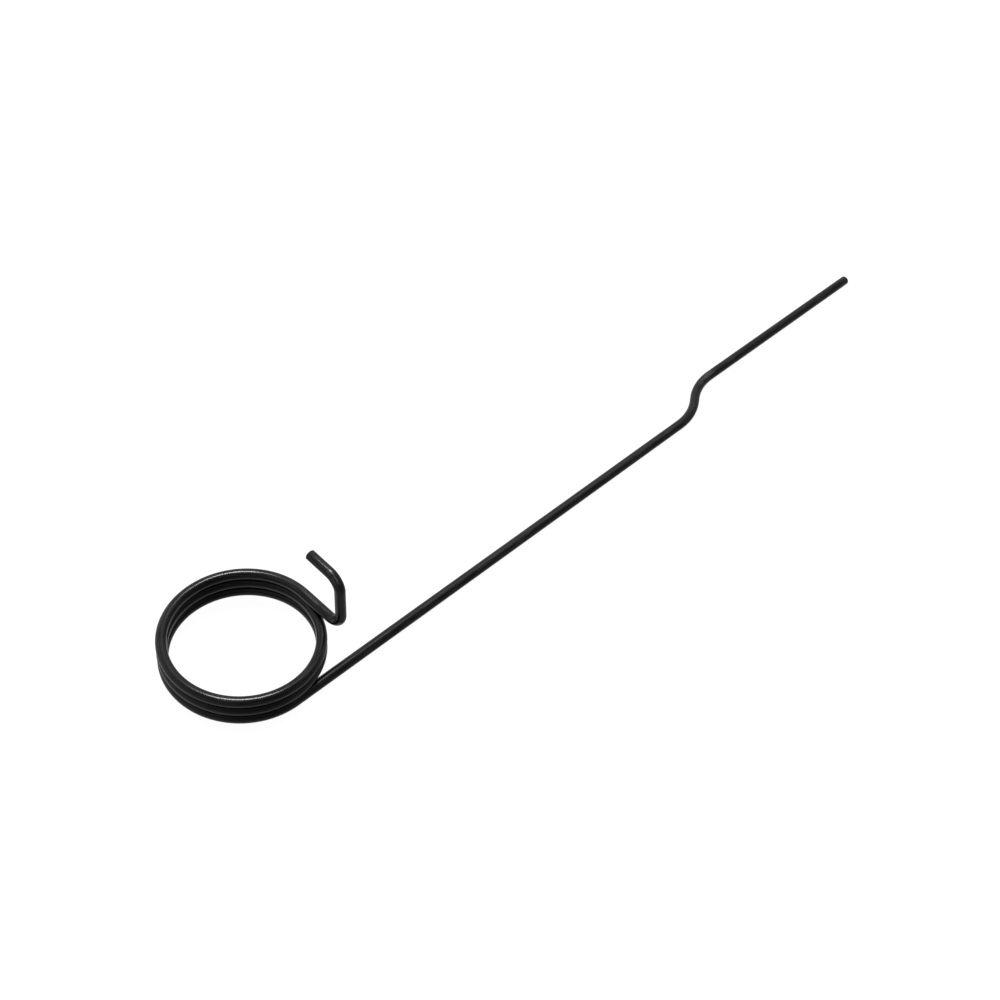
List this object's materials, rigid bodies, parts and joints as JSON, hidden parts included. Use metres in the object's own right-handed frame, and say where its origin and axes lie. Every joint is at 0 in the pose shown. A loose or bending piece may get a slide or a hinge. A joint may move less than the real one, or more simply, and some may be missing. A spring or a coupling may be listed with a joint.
{
  "type": "torsion spring",
  "caption": "Left-hand wound torsion spring of black coated round wire, with a long straight leg joggled near its end and a short leg bent up and back into a square hook.",
  "frame": {"origin": "on the coil's axis, at the bottom of the coil, where the spring lies on a surface", "axes": "+Z along the coil's axis, from the long leg's side to the hook's side; +X along the long leg, away from the coil"},
  "size_m": [0.2337, 0.0374, 0.0253],
  "materials": {
    "coated_wire": "semi-gloss black coating on round spring steel wire"
  },
  "bodies": {
    "root": {"torsion_spring": "coated_wire"}
  },
  "joints": []
}
